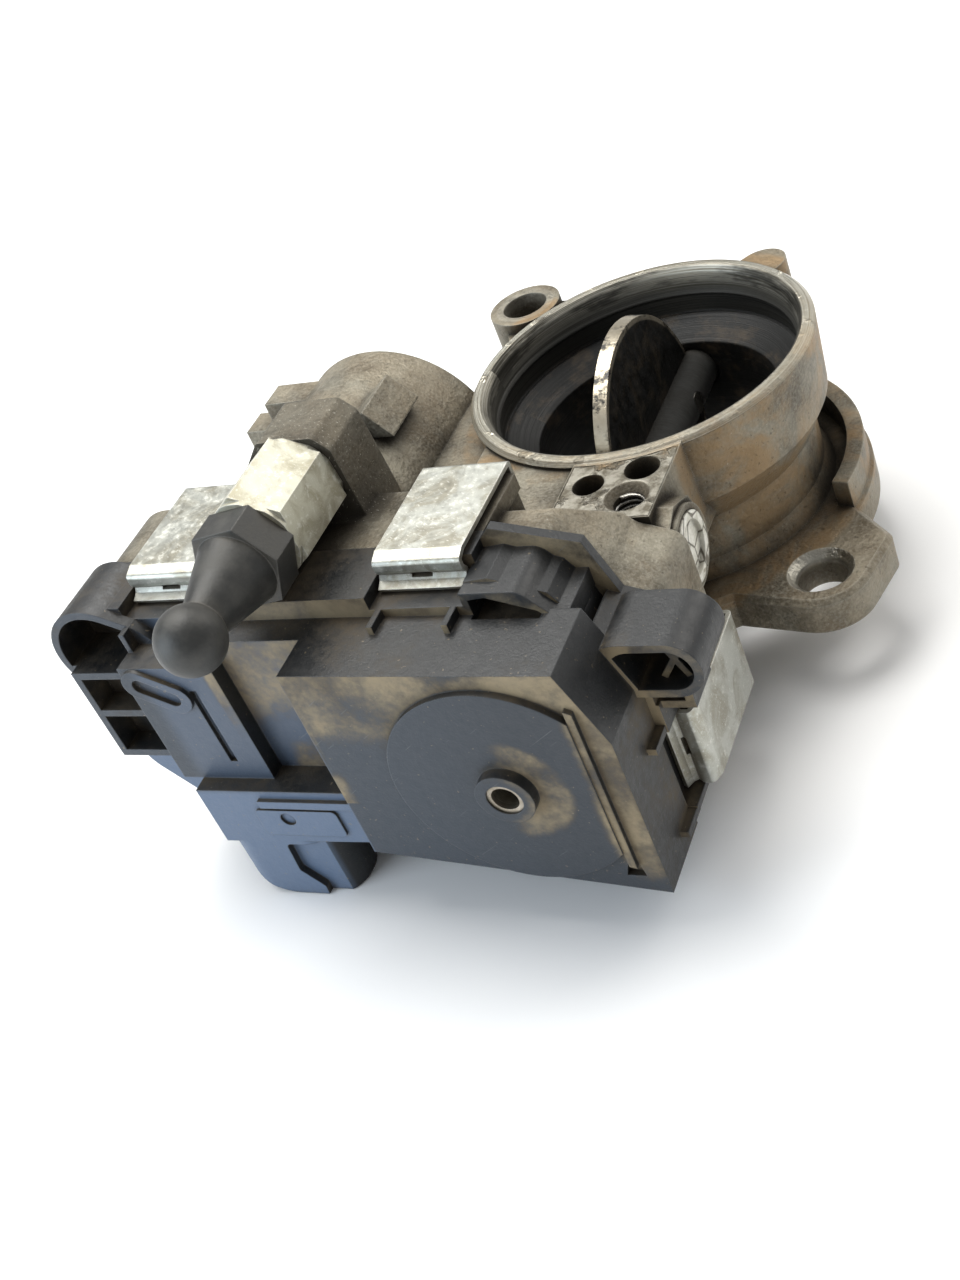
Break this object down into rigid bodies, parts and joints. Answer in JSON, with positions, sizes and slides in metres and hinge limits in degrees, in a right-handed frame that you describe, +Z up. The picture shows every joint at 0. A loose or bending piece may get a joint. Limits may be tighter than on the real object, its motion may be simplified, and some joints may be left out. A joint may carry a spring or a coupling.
{
  "type": "throttle body",
  "caption": "Motorised throttle body: cast housing with a flanged bore, plate on a cross shaft, side motor with gear drive, clipped moulded cover, ball stud",
  "frame": {"origin": "centre of the air passage in the mounting flange's face", "axes": "+Z up the air passage to the inlet ring, +X away from the motor, +Y to the back, with the gear cover on the -Y side"},
  "size_m": [0.126, 0.1325, 0.0733],
  "materials": {
    "cast_housing": "cast, matt and dusty, machined where it is fitted",
    "steel_shaft": "ground",
    "brass_plate": "sooted",
    "screw_steel": "plain",
    "seal_rubber": "smooth",
    "bearing_steel": "ground",
    "cap_steel": "plated",
    "spring_steel": "drawn",
    "gear_plastic": "moulded",
    "magnet_ferrite": "sintered",
    "motor_steel": "zinc plated",
    "lamination_steel": "stamped",
    "commutator_copper": "copper, worn",
    "pinion_brass": "sintered",
    "card_plastic": "moulded",
    "cover_plastic": "satin with dust",
    "gasket_rubber": "smooth",
    "bushing_steel": "plain",
    "board_laminate": "lacquered",
    "terminal_brass": "tinned",
    "clip_steel": "zinc plated, dull",
    "plug_metal": "sealed with flaking paint",
    "zinc_spacer": "yellowed zinc",
    "black_stud": "black phosphate"
  },
  "bodies": {
    "base": {"housing": "cast_housing", "shaft_seal_front": "seal_rubber", "shaft_bearing_front": "bearing_steel", "shaft_seal_rear": "seal_rubber", "shaft_bearing_rear": "bearing_steel", "shaft_end_cap": "cap_steel", "return_spring": "spring_steel", "idler_pin": "steel_shaft", "motor_can": "motor_steel", "motor_magnets": "magnet_ferrite", "motor_front_plate": "motor_steel", "motor_screws": "screw_steel", "brush_card": "card_plastic", "wave_washer": "spring_steel", "gear_cover": "cover_plastic", "cover_gasket": "gasket_rubber", "cover_bushing": "bushing_steel", "sensor_board": "board_laminate", "connector_terminals": "terminal_brass", "retaining_clips": "clip_steel", "passage_plug": "plug_metal", "hex_spacer": "zinc_spacer", "ball_stud": "black_stud"},
    "throttle": {"throttle_shaft": "steel_shaft", "throttle_plate": "brass_plate", "plate_screws": "screw_steel", "sector_gear": "gear_plastic", "position_magnet": "magnet_ferrite"},
    "idler": {"idler_gear": "gear_plastic"},
    "rotor": {"motor_shaft": "steel_shaft", "motor_armature": "lamination_steel", "motor_commutator": "commutator_copper", "motor_pinion": "pinion_brass"}
  },
  "joints": [
    {"name": "throttle_turn", "type": "hinge", "parent": "base", "child": "throttle", "pos_m": [0, 0, 0.019], "axis": [0, 1, 0], "range_deg": [0, 84], "stiffness_Nm_per_rad": 0.1, "springref_deg": -34.38},
    {"name": "idler_turn", "type": "hinge", "parent": "base", "child": "idler", "pos_m": [-0.029, 0, 0.019], "axis": [0, 1, 0], "range_deg": [-265, 0]},
    {"name": "motor_turn", "type": "hinge", "parent": "base", "child": "rotor", "pos_m": [-0.057, 0, 0.019], "axis": [0, 1, 0], "range_deg": [0, 970]}
  ],
  "couplings": [
    {"joint": "idler_turn", "follows": "throttle_turn", "ratio": -3.1429},
    {"joint": "motor_turn", "follows": "throttle_turn", "ratio": 11.524}
  ]
}
